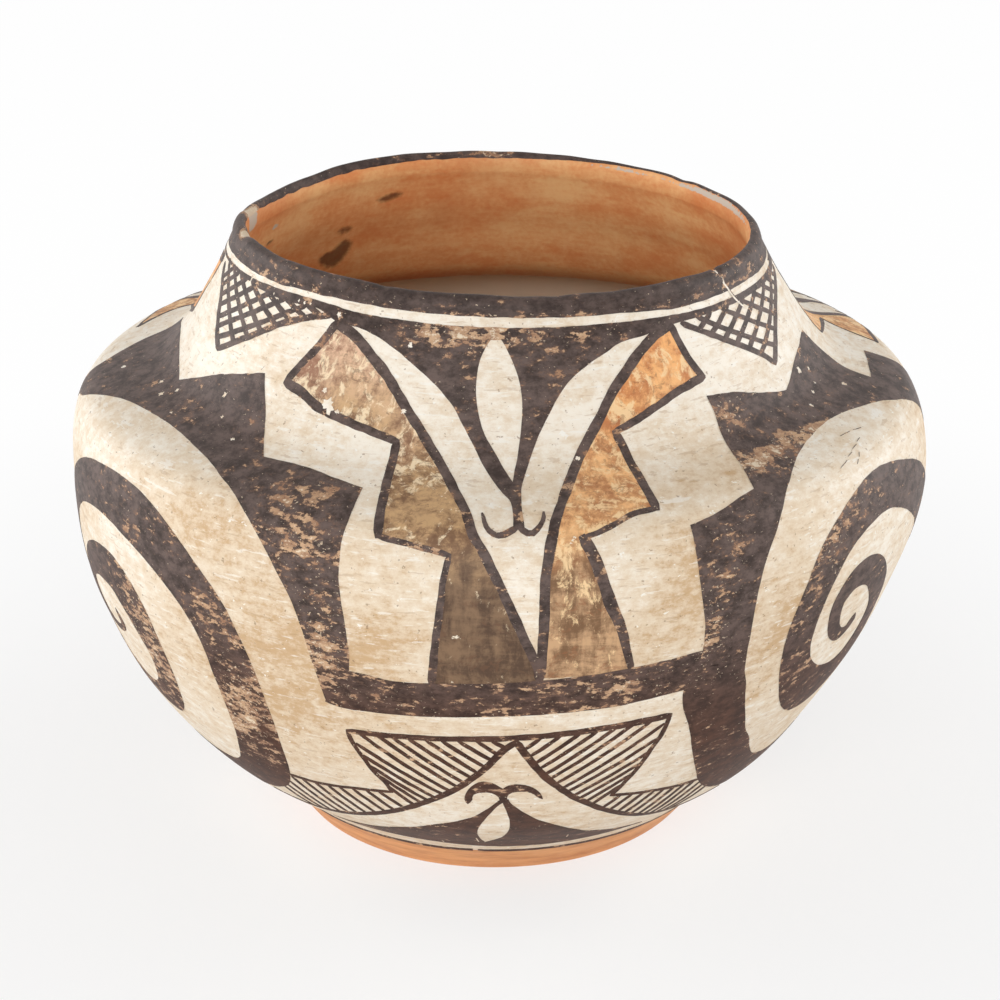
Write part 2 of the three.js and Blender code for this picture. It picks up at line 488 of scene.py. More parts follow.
wornSpots = {
    "ground band": [(2, 105, 14, 3, 0.3), (-14, 108, 6, 5, 0.35), (18, 111, 9, 6, 0.45)],
    "neck band and V": [(-11, 215, 9, 2.8, 0.65), (8, 214, 20, 2.4, 0.4), (2, 205, 14, 8, 0.15),
                        (-36, 213, 6, 4, 0.25)],
    "left strip": [(-21, 128, 4, 18, 0.6), (-22, 118, 3, 8, 0.3), (-24, 150, 5, 6, 0.55),
                   (-28, 163, 6, 8, 0.35)],
    "left rings": [(-34, 100, 5, 16, 0.7), (-36, 84, 4, 12, 0.55), (-38, 122, 4, 10, 0.35),
                   (-52, 104, 5, 24, 0.75)],
    "right block": [(48, 171, 12, 4, 0.9), (38, 168, 3, 3, 1.0), (41, 188, 4, 5, 0.7), (52, 164, 9, 3, 0.5)],
    "right strip": [(26.5, 123, 2, 8, 0.8), (27, 140, 4, 10, 0.4), (30, 152, 4, 6, 0.25),
                    (30, 110, 4, 8, 0.25)],
    "right rings": [(44, 140, 4, 9, 0.6), (41, 126, 3, 10, 0.35), (50, 146, 5, 5, 0.4),
                    (43, 100, 4, 14, 0.2)],
    "upper steps": [(-10, 152.6, 5, 2, 0.45), (16, 158.4, 5, 2.4, 0.35)],
    "right side": [(75, 112, 6, 18, 0.45), (93, 132, 4, 16, 0.5), (112, 109, 12, 4, 0.4),
                   (130, 111, 8, 5, 0.4)],
    "back": [(150, 100, 5, 18, 0.5), (168, 146, 9, 6, 0.5), (196, 96, 6, 12, 0.45), (209, 134, 4, 16, 0.5)],
    "left side": [(-66, 88, 7, 10, 0.45), (-97, 122, 4, 18, 0.55), (-80, 150, 8, 5, 0.45),
                  (-118, 109, 12, 4, 0.4)],
    "chips in the lip": [(-97, lipCrest + 2, 4.5, 2.5, 2.5), (-74, lipCrest, 2.4, 1.6, 2.5)],
    "edges of the lip": [(0, 219.8, 75, 1.0, 0.4), (0, lipCrest + 1.6, 85, 0.9, 0.4),
                         (180, lipCrest + 1, 7, 2.6, 0.9)],
}


def spotSum(spots, angle, distance):
    total = 0.0
    for centre, level, width, height, amount in spots:
        off = (around(angle, centre) / width) ** 2 + ((distance - level) / height) ** 2
        total += amount * math.exp(-off)
    return total


def revolve(section, closed, sides):  # radius and height of a section, turned about the axis
    bm = bmesh.new()
    corners = [bm.verts.new((radius, 0, height)) for radius, height in section]
    for a, b in zip(corners, corners[1:]):
        bm.edges.new((a, b))
    if closed:
        bm.edges.new((corners[-1], corners[0]))
    bmesh.ops.spin(bm, geom=bm.verts[:] + bm.edges[:], cent=(0, 0, 0), axis=(0, 0, 1), dvec=(0, 0, 0),
                   angle=math.tau, steps=sides, use_merge=True, use_duplicate=False)
    bmesh.ops.remove_doubles(bm, verts=bm.verts[:], dist=turning["weld"])
    bmesh.ops.recalc_face_normals(bm, faces=bm.faces[:])
    return bm


def placeMesh(name, bm, *materials):
    mesh = bpy.data.meshes.new(name)
    bm.to_mesh(mesh)
    bm.free()
    for material in materials:
        mesh.materials.append(material)
    piece = bpy.data.objects.new(name, mesh)
    scene.collection.objects.link(piece)
    return piece


def levels(bottom, top):  # even steps from one level to another
    count = max(2, round(abs(top - bottom) / turning["ringStep"]))
    return [bottom + (top - bottom) * index / count for index in range(count + 1)]


def coilSection(bottom, top, lip):
    drop = jarWall["lapDrop"]
    section = [outsideAt(level)[:2] for level in levels(bottom, top)]
    if lip:
        section += [sectionAt(wallLength + level)[:2] for level in levels(0, lipLength)[1:-1]]
    section += [insideAt(level)[:2] for level in levels(top if lip else top - drop, bottom - drop)]
    return section


def baseSection():
    stations = jarWall["stations"]
    heelEnd = math.dist(stations[0], stations[1])
    top = footReach + jarWall["baseWall"]
    section = [(0, 0), (turning["underRing"], 0)]
    section += [outsideAt(level)[:2] for level in levels(footReach, top)]
    section += [insideAt(level)[:2] for level in levels(top - jarWall["lapDrop"], footReach + heelEnd)]
    floor = jarWall["floor"]
    return section + [(stations[0][0] - jarWall["clay"], floor), (turning["floorRing"], floor), (0, floor)]


wallHeights = [point[1] for point in wallLine]


def levelOf(height):  # distance up the wall for a height
    return wallReach[min(bisect.bisect_left(wallHeights, height), len(wallReach) - 1)]


def turnCoil(name, section, closed):
    bm = revolve(section, closed, turning["sides"])
    stain = bm.verts.layers.float.new("stain")
    bare = bm.verts.layers.float.new("bare")
    for face in bm.faces:
        centre = face.calc_center_median()
        out = Vector((centre.x, centre.y, 0)).normalized().dot(face.normal)
        face.material_index = 0 if out > turning["outward"] or centre.z < turning["under"] else 1
        face.smooth = True
    for vert in bm.verts:
        angle = math.degrees(math.atan2(vert.co.x, -vert.co.y))
        radius = math.hypot(vert.co.x, vert.co.y)
        level = levelOf(vert.co.z)
        inner = radius < outsideAt(level)[0] - turning["skin"]
        if inner:
            vert[stain] = spotSum(insideSpots["soot"], angle, vert.co.z)
        else:
            vert[stain] = spotSum(stainSpots, angle, level)
        vert[bare] = spotSum(insideSpots["chips"], angle, vert.co.z)
        vert.co = handMade(angle, radius, vert.co.z)
    coil = placeMesh(name + "_clay", bm, skins["cream_slip"], insideSkin)
    coil.data.set_sharp_from_angle(angle=math.radians(turning["sharp"]))
    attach(coil, "root")
    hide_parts(name)


turnCoil("puki_base", baseSection(), False)
for index, name in enumerate(coilNames):
    rise = (wallLength - footReach - jarWall["baseWall"]) / len(coilNames)
    bottom = footReach + jarWall["baseWall"] + rise * index
    turnCoil(name, coilSection(bottom, bottom + rise, name == "rim_coil"), True)
print("clay coils", len(coilNames) + 1)


# painted design, laid out flat: degrees round from the front (right is plus), mm up the wall from the foot

brush = {
    "step": 1.5,  # length of the straight bits of an outline
    "waver": 0.16,  # how unsteady the hand is
    "grid": 2.4,  # paint is cut this fine so that it follows the wall
    "sink": 0.1,  # depth of its underside below the slip
    "tremor": 3.1,  # length over which the hand shakes
    "swell": 0.16,  # how much a stroke swells and thins on the way, and over what length
    "swellRun": 4,
    "pinch": 0.55,  # width of its two ends
    "meet": 0.2,  # runs of an outline that end this close share a corner
    "guideStep": 0.5,  # fineness of the lines that others start from
    # how far each paint stands off the wall
    "lift": {"cream_slip": 0.17, "black_paint": 0.13, "brown_paint": 0.07, "orange_paint": 0.07},
}


def flat(point):  # angle and distance to millimetres on the flat
    return point[0] * degreeRun, point[1]


def unsteady(x, y):
    feel = Vector((x / brush["tremor"], y / brush["tremor"], 0.5))
    return x + brush["waver"] * noise.noise(feel), y + brush["waver"] * noise.noise(feel + Vector((40, 0, 0)))


def handLine(points):  # drawn line through points
    return [unsteady(*point) for point in curveThrough([flat(point) for point in points], brush["step"])]


def guide(points):  # fine, steady line through points, as angles and distances
    line = curveThrough([flat(point) for point in points], brush["guideStep"])
    return [(x / degreeRun, y) for x, y in line]


def outline(*runs):  # closed outline from runs of points that meet at corners
    loop = []
    for run in runs:
        line = handLine(run)
        if loop and math.dist(loop[-1], line[0]) < brush["meet"]:
            line = line[1:]
        loop += line
    if math.dist(loop[0], loop[-1]) < brush["meet"]:
        loop.pop()
    return loop


def brushLine(points, *widths):  # outline of one stroke, whose width may change on the way
    line = handLine(points)
    count = len(line) - 1
    left = []
    right = []
    for index, (x, y) in enumerate(line):
        before = line[max(index - 1, 0)]
        after = line[min(index + 1, count)]
        squeeze = sectionAt(min(max(y, 0), wallLength))[0] / bellyRadius  # less wall near neck and foot
        runX = (after[0] - before[0]) * squeeze
        runY = after[1] - before[1]
        size = max(math.hypot(runX, runY), 1e-6)
        spot = index / count * (len(widths) - 1)
        low = int(min(spot, max(len(widths) - 2, 0)))
        high = min(low + 1, len(widths) - 1)
        half = (widths[low] + (widths[high] - widths[low]) * (spot - low)) / 2
        half *= 1 + brush["swell"] * noise.noise(Vector((x / brush["swellRun"], y / brush["swellRun"], 9)))
        end = half * 0.5 * ((index == count) - (index == 0))
        midX = x + runX / size * end / squeeze
        midY = y + runY / size * end
        pinch = brush["pinch"] if index in (0, count) else 1
        left.append((midX - runY / size * half * pinch / squeeze, midY + runX / size * half * pinch))
        right.append((midX + runY / size * half * pinch / squeeze, midY - runX / size * half * pinch))
    return left + right[::-1]


def fillShape(bm, *loops):  # fills the first outline, the others are holes in it
    edges = []
    for loop in loops:
        corners = [bm.verts.new((x, y, 0)) for x, y in loop]
        for a, b in zip(corners, corners[1:] + corners[:1]):
            edges.append(bm.edges.new((a, b)))
    bmesh.ops.triangle_fill(bm, use_beauty=True, edges=edges, normal=(0, 0, 1))


def cutFine(bm, axis):  # cuts the flat paint along even lines
    spots = [vert.co[axis] for vert in bm.verts]
    line = math.ceil(min(spots) / brush["grid"]) * brush["grid"]
    across = Vector((1, 0, 0)) if axis == 0 else Vector((0, 1, 0))
    while line < max(spots):
        everything = bm.verts[:] + bm.edges[:] + bm.faces[:]
        bmesh.ops.bisect_plane(bm, geom=everything, dist=0.0001, plane_co=across * line, plane_no=across)
        line += brush["grid"]


def layPaint(name, shapes, slot="black_paint", shift=0.0):  # thin shell of paint on the wall
    bm = bmesh.new()
    for loops in shapes:
        fillShape(bm, *loops)
    cutFine(bm, 0)
    cutFine(bm, 1)
    rubbed = bm.verts.layers.float.new("edge")
    for edge in bm.edges:
        if edge.is_boundary:
            for vert in edge.verts:
                vert[rubbed] = 1
    raised = bmesh.ops.extrude_face_region(bm, geom=bm.faces[:])
    for item in raised["geom"]:
        if isinstance(item, bmesh.types.BMVert):
            item.co.z = 1
    bmesh.ops.recalc_face_normals(bm, faces=bm.faces[:])
    finishPaint(bm, name, slot, shift)


def finishPaint(bm, name, slot, shift=0.0):  # wraps flat paint, z 0 below and 1 above, round the jar
    wear = bm.verts.layers.float.new("wear")
    lift = brush["lift"][slot]
    normals = []
    for vert in bm.verts:
        angle = vert.co.x / degreeRun + shift
        distance = vert.co.y
        vert[wear] = sum(spotSum(spots, angle, distance) for spots in wornSpots.values())
        normals.append(wallNormal(angle, distance))
        vert.co = wallPoint(angle, distance, lift if vert.co.z > 0.5 else -brush["sink"])
    for face in bm.faces:
        face.smooth = True
    piece = placeMesh(name, bm, skins[slot])
    piece.data.normals_split_custom_set_from_vertices(normals)
    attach(piece, "root")


# the two stepped figures and the V between them

leftFigure = {
    "side": [(-32.5, 213.8), (-34.8, 208), (-36.6, 204), (-38.4, 200), (-40, 196)],
    "under": [(-40, 196), (-36, 194.6), (-32, 192), (-28, 190.6), (-22, 188.6), (-16.3, 186.4)],
    "drop": [(-16.3, 186.4), (-16.1, 178), (-15.7, 172), (-15.2, 166), (-14.4, 154.3)],
    "step": [(-14.4, 154.3), (-12, 153.5), (-8, 151.9), (-5.6, 150.9)],
    "leg": [(-5.6, 150.9), (-6.4, 144), (-6.8, 138), (-7.4, 128), (-7.5, 120), (-7.5, 114)],
    "arm": [(-32.5, 213.8), (-28, 211.6), (-24, 207.6), (-20, 202.8), (-16, 196), (-12, 188.5), (-8, 179),
            (-6, 172), (-4, 163), (-2.9, 156), (-1.75, 152), (0, 144), (1.5, 136), (3, 128), (4.8, 120),
            (5.3, 115.5)],
    "widths": {"side": (2.4, 2.2), "under": (2.6, 2.1), "drop": (2.3, 2.6), "step": (1.7, 1.5),
               "leg": (1.6, 2.3), "arm": (2.8, 2.4)},
}

rightFigure = {
    "side": [(35.8, 214.3), (36.1, 212), (36.8, 208), (37.5, 204), (38.6, 200), (39.4, 198.3)],
    "under": [(39.4, 198.3), (36, 197.2), (32, 195.7), (28, 193.4), (24, 190.9), (19.5, 188.3)],
    "drop": [(19.5, 188.3), (20.2, 184), (20.6, 176), (20.5, 168), (20.4, 160.5)],
    "step": [(20.4, 160.5), (18, 160.3), (16, 158.9), (14, 157), (12, 155.4), (10.3, 154.6)],
    "leg": [(10.3, 154.6), (11.3, 150), (12, 145), (12.6, 140), (13.3, 135), (14.3, 130), (15.2, 124),
            (16.5, 116.4)],
    "arm": [(35.8, 214.3), (31.3, 212), (27, 208), (23.9, 204), (21, 200), (17.1, 192), (13.4, 184),
            (10.8, 176), (8.9, 168), (7.3, 160), (6.2, 152), (5.45, 144), (5.2, 136), (5.1, 130),
            (5.15, 124), (5.4, 116.2)],
    "widths": {"side": (2.2, 2.3), "under": (2.3, 1.9), "drop": (2.3, 2.6), "step": (1.8, 1.4),
               "leg": (3.1, 3.2, 1.6), "arm": (2.8, 2.6)},
}

narrowFigure = {  # left figure of the panel on the right, drawn narrower
    "side": [(-23.5, 213.8), (-22.5, 205), (-22, 198), (-22.3, 190), (-23.2, 183.4)],
    "under": [(-23.2, 183.4), (-16, 179.5), (-9.8, 176)],
    "drop": [(-9.8, 176), (-12.4, 173), (-14, 170), (-15.6, 166), (-16.5, 161.6)],
    "step": [(-16.5, 161.6), (-12, 160.5), (-5.6, 157)],
    "leg": [(-5.6, 157), (-6.2, 148), *leftFigure["leg"][2:]],
    "arm": [(-23.5, 213.8), (-20.5, 209.5), (-18, 204), (-15.4, 197), (-11.6, 189), *leftFigure["arm"][6:]],
    "widths": {**leftFigure["widths"], "side": (0.5, 0.5), "under": (0.9, 1.2, 1.6), "drop": (0.4, 0.5),
               "step": (1.6, 1.6)},
}

wideFigure = {  # right figure of the panel on the left, drawn with a narrow waist
    "side": [(43.5, 214), (42, 210), (40, 204), (39.2, 200), (38.6, 195)],
    "under": [(38.6, 195), (32, 191.5), (24, 185.6), (17, 180), (12.6, 175.5)],
    "drop": [(12.6, 175.5), (12.8, 171.5), (14.5, 168.6), (17.5, 166.2), (21, 163.6)],
    "step": [(21, 163.6), (15, 162), (9.8, 159.4)],
    "leg": [(9.8, 159.4), *rightFigure["leg"][1:]],
    "arm": [(43.5, 214), (36, 212.4), (30, 210), (24, 204.5), (20, 199.5), (15, 191), (11, 183), (8, 176),
            (6.5, 168), (5.8, 160), (5.3, 152), *rightFigure["arm"][11:]],
    "widths": {**rightFigure["widths"], "side": (0.5, 0.6), "under": (1.8, 1.8), "drop": (0.6, 0.8, 1.8),
               "step": (0.9, 0.6)},
}

leafField = {
    "left": [(-33, 216.6), (-29.5, 214.5), (-24, 212.6), (-20, 210.3), (-16, 207), (-12, 203),
             (-8, 197.5), (-5, 190), (-3, 184), (-1, 177), (0.6, 171.5), (1.8, 167), (2, 158)],
    "right": [(3.3, 158), (3.2, 167), (3.4, 173), (3.8, 175.8), (5.5, 184.6), (8, 192.7), (12, 201.6),
              (16, 206.2), (20, 209.2), (24, 211.7), (31, 213.2), (35, 216)],
    "leafLeft": [(0, 215.5), (-1.8, 213), (-3.3, 208), (-3.7, 202), (-3.3, 196), (-2, 189.5), (0, 183.5),
                 (2.25, 175.2)],
    "leafRight": [(2.25, 175.2), (2.7, 180.1), (3.6, 187.7), (4.25, 196), (4.1, 202), (3, 207.8),
                  (1.4, 212.7), (0, 215.5)],
    "hooks": [[(2.5, 158.5), (1.5, 157), (0.3, 156), (-0.8, 157), (-1.5, 159.5), (-1.9, 162.8)],
              [(2.6, 158.5), (3.3, 157), (4.1, 156.3), (5, 157.8), (5.7, 160.5), (5.9, 163)]],
    "hookWidths": (2.0, 1.5, 0.9),
}

groundBand = {
    "top": [(-19.3, 115.8), (-17.4, 115.5), (-14, 114.6), (-12, 113.9), (-4, 114.6), (4, 115.3), (12, 116.4),
            (20, 117.7), (26, 118.8), (29, 118.8)],
    "bottom": [(29, 106), (24.3, 106), (16, 104.3), (4, 103.5), (-4, 102.9), (-12, 102.3), (-19.6, 102.5),
               (-21.2, 103.6)],
}

figureFeet = {"left": (0, 114.8), "right": (10, 116.2)}  # where a figure's fill meets the ground band


def figureFill(figure, base):
    runs = [figure[part] for part in ("side", "under", "drop", "step", "leg")]
    return outline(*runs, [figure["leg"][-1], base], [base, figure["arm"][-1]], figure["arm"][::-1])


def figureLines(figure):  # a stroke along each part that has a width
    return [[brushLine(figure[part], *figure["widths"][part])] for part in figure["widths"]]


def paintPanel(tag, figures, shift):
    lines = []
    for side, (figure, slot) in figures.items():
        layPaint(side + "_figure_" + tag, [[figureFill(figure, figureFeet[side])]], slot, shift)
        lines += figureLines(figure)
    end = [groundBand["top"][-1], groundBand["bottom"][0]]
    lines.append([outline(groundBand["top"], end, groundBand["bottom"])])
    across = [leafField["right"][-1], leafField["left"][0]]
    leaf = outline(leafField["leafLeft"], leafField["leafRight"])
    lines.append([outline(leafField["left"], leafField["right"], across), leaf])
    lines += [[brushLine(hook, *leafField["hookWidths"])] for hook in leafField["hooks"]]
    layPaint("figure_lines_" + tag, lines, shift=shift)


# fan of hatched feathers under the band, and the dark bloom below it

fan = {
    "top": [(-18.8, 93.5), (-12, 93.9), (-6, 94.4), (0, 94.8), (6, 95.3), (12, 96), (18, 96.7), (23.7, 97.2)],
    "left": [(-18.9, 93.3), (-18.3, 88), (-17.5, 84), (-16.5, 78), (-15, 72), (-14.5, 67.4)],
    "right": [(23.7, 97), (23.2, 90), (22.4, 84), (21.7, 78), (20.3, 70), (18.8, 63.2)],
    "leftArc": [(3.3, 93.6), (1.2, 88.5), (-1, 81), (-3.8, 74), (-6.5, 68.5), (-10, 63), (-14, 57.3),
                (-18, 52.8), (-23, 48.2), (-28, 44.7), (-33, 42.5), (-38, 42.3), (-43, 44.5)],
    "rightArc": [(3.3, 93.6), (5, 87), (7, 80), (9.3, 73.5), (12, 67), (15, 61), (18, 55.5), (22, 49.5),
                 (26, 44.5), (30, 40.5), (35, 37.3), (41, 36.8), (47, 40)],
    "leftBrow": [(-14.5, 67.4), (-20, 66.3), (-24, 65.2), (-28, 64.6), (-32, 64.9)],
    "rightBrow": [(18.8, 63.2), (22, 62), (26, 60.8), (30, 59.5), (35, 59)],
    "widths": {"top": (1.9, 2.1, 2.4), "left": (1.3, 1.2), "right": (1.5, 1.4), "leftArc": (2.2, 2.1, 1.6),
               "rightArc": (2.2, 2.1, 1.6), "leftBrow": (1.3, 1.3), "rightBrow": (1.4, 1.4)},
    "hatch": (1.25, 1.35, 1.2),
}

hatching = {  # lines of the feathers: starts on one guide, ends on another, how many
    "leftFan": ([(1.5, 93.6), (-10, 93.4), (-17.6, 92.6), (-17.4, 84), (-15.6, 75), (-14.6, 68.6)],
                [(2.6, 92), (0.6, 86.5), (-2.6, 77.4), (-6.2, 69), (-9.6, 63.6), (-12.2, 60)], 14),
    "rightFan": ([(5.4, 94.6), (14, 95.6), (22.6, 96), (22.6, 86), (21.2, 76), (19.2, 66)],
                 [(4.1, 91.5), (5.8, 85.5), (7.8, 78.4), (11, 70), (14, 63.4), (16.6, 58.6)], 13),
    "leftBand": ([(-15.4, 66.8), (-20, 65.8), (-26, 64.4), (-31.5, 64), (-34, 58.5), (-37.5, 52)],
                 [(-12.6, 59.6), (-15.4, 56), (-20, 51), (-25.5, 46.8), (-30, 44.2), (-35.5, 42.8)], 11),
    "rightBand": ([(19.6, 62.6), (24, 61), (29, 59.4), (34.6, 58.4), (37, 54), (40, 49.6)],
                  [(17.4, 57), (20.4, 52.4), (23.6, 48), (27.5, 43.2), (31, 40), (36, 37.4)], 11),
}

bloom = {
    "left": [(1.5, 66), (-0.7, 60), (-2.6, 56), (-5.7, 52), (-10.2, 48), (-13.8, 44), (-18.3, 40), (-22, 36),
             (-26.7, 32), (-32, 28.4), (-38, 25.4)],
    "bottom": [(-38, 25.4), (-28, 24.4), (-20, 23.8), (-12, 22.9), (-4, 21.4), (4, 20.8), (12, 20.8),
               (20, 21.7), (34, 23.6)],
    "right": [(34, 23.6), (29, 25.6), (24.6, 28.4), (21.4, 32), (17.5, 36), (15.4, 40), (13, 44),
              (10.6, 48), (8, 52), (6.2, 56), (4.6, 60), (3.3, 64), (2.9, 66.5)],
    "dropLeft": [(2.0, 64.8), (1, 62), (0, 58), (-1.6, 51.5), (-2.6, 46), (-2.9, 40), (-2.7, 34), (-2.2, 28)],
    "dropRight": [(-2.2, 28), (-0.6, 32), (1.2, 36.5), (2.4, 43), (3, 50), (2.8, 56), (2.4, 61), (2.0, 64.8)],
    "slits": [([(-3.5, 28), (-3.5, 36)], 0.5), ([(-11.5, 23.4), (-11.4, 26)], 0.7),
              ([(14.6, 29), (14.3, 34)], 0.5)],
}

moustache = {
    "left": [(2, 72.4), (0.5, 75.3), (-1, 76), (-2.5, 73.5), (-3.3, 70), (-3.6, 66), (-3.2, 63.8)],
    "leftUnder": [(-3.2, 63.8), (-2.5, 66), (-2.3, 69), (-1.5, 70.3), (0.4, 70.2), (1.4, 68), (1.6, 65)],
    "stem": [(1.6, 65), (2.8, 65)],
    "rightUnder": [(2.8, 65), (2.7, 68.4), (3.5, 70.4), (5.3, 70.5), (6.5, 69), (7.2, 67), (8, 65.8)],
    "right": [(8, 65.8), (7.7, 68.5), (6.5, 72), (5, 74), (3, 74.2), (2, 72.4)],
}


def hatchLines(starts, ends, count):  # feather lines between two guides
    first = guide(starts)
    second = guide(ends)
    lines = []
    for index in range(count):
        share = (index + 0.5) / count
        points = [line[round(share * (len(line) - 1))] for line in (first, second)]
        lines.append([brushLine(points, *fan["hatch"])])
    return lines


def paintFan(tag, shift):
    shapes = figureLines(fan)
    for starts, ends, count in hatching.values():
        shapes += hatchLines(starts, ends, count)
    holes = [outline(bloom["dropLeft"], bloom["dropRight"])]
    holes += [brushLine(points, width) for points, width in bloom["slits"]]
    top = [bloom["right"][-1], bloom["left"][0]]
    shapes.append([outline(bloom["left"], bloom["bottom"], bloom["right"], top), *holes])
    shapes.append([outline(*moustache.values())])
    layPaint("feather_fan_" + tag, shapes, shift=shift)


# stepped blocks with the spiral between two panels

rightSpiral = {
    "stripLeft": [(38.6, 193), (38.8, 187.7), (38.2, 183), (36.9, 173), (35.7, 165.4), (34.9, 160.4)],
    "shelf": [(34.9, 160.4), (31.7, 158.7), (28, 156.2), (24, 154.4)],
    "outer": [(24, 154.4), (24.1, 146), (24.4, 136), (25.2, 126), (25.6, 118), (24.6, 108), (25.2, 100),
              (27.5, 89.4), (29.8, 78.5), (32.7, 67.3), (36.4, 55.5), (41.7, 47.3), (48, 42), (56, 39.5),
              (64, 40.5), (71, 44.5), (76.5, 51), (81, 58), (83.7, 68), (84.6, 80), (84.7, 95),
              (84, 107.7), (82.3, 117.7), (79.7, 127.7), (75.7, 136.3), (70.7, 143.5), (66, 147.6),
              (61.7, 150.3), (56.9, 151.8), (52.2, 150.4), (47.5, 146.5), (42.7, 138.9), (40.3, 129.4),
              (39.1, 118), (39.9, 106.6), (41.8, 95.2), (44.6, 85.7), (48.4, 79), (52.2, 77), (57, 77.3),
              (61.5, 81), (64.5, 88), (65.3, 97), (64.3, 107), (62, 116), (59, 123), (56, 127.5),
              (53, 129), (50, 127.8), (47.8, 123.5), (47, 118), (47.8, 111.5), (49.5, 106), (52.3, 102.2),
              (54.5, 103.3), (55.9, 106.4), (55.2, 109.2)],
    "inner": [(55.2, 109.2), (54.2, 108), (53.9, 106.4), (52.8, 106.3), (51.2, 109), (50, 114),
              (49.8, 117.6), (51.6, 120.4), (53.8, 119.8), (55.8, 117), (58, 112), (59.5, 107.5),
              (60, 102), (59, 96.5), (57, 93.3), (54.1, 92.7), (50.3, 95.2), (47, 100.9), (45.1, 108.5),
              (44.6, 118), (45.6, 126.6), (48.4, 134.2), (52.2, 138), (57.5, 139.4), (63, 135.5),
              (67.5, 130), (71.8, 123.5), (74.8, 115), (76.1, 106), (76.5, 92), (76, 80), (74.6, 71),
              (72, 64), (68, 59), (63, 55.5), (58, 54.3), (54, 55), (50.3, 57.2), (47, 60.6), (44, 66.8),
              (41.2, 75), (39, 80.2), (37.5, 86.1), (35.9, 93.2), (34.6, 102), (33.4, 108), (32.5, 117),
              (32.1, 126), (32.3, 132), (33.4, 140), (36, 148.7), (38.9, 156.3), (43.3, 163),
              (47.5, 167.3), (53.2, 170.4), (58, 171.3), (62, 170.6), (66.4, 168.4), (71.2, 164.8),
              (75, 160.3), (79, 155.5), (82.6, 150), (86, 143), (89.3, 133), (91.4, 121), (92.6, 112),
              (93.8, 103.6)],
    "foot": [(93.8, 103.6), (96.6, 103)],
    "stripRight": [(96.6, 103), (96.8, 112), (95.4, 126), (93.6, 138), (92.4, 150), (91.6, 159),
                   (91.4, 164), (91.6, 169.2)],
    "step": [(91.6, 169.2), (84, 169), (79.8, 168.3)],
    "blockRight": [(79.8, 168.3), (80, 175.5), (81, 181), (80.8, 184.6), (79.5, 189.5), (78.2, 193.7)],
    "blockTop": [(78.2, 193.7), (76.4, 193.6), (72, 192.4), (66.4, 190.6), (62, 188), (58, 185.4)],
    "blockNotch": [(58, 185.4), (54, 187), (50, 188.9), (44, 191.8), (38.6, 193)],
}

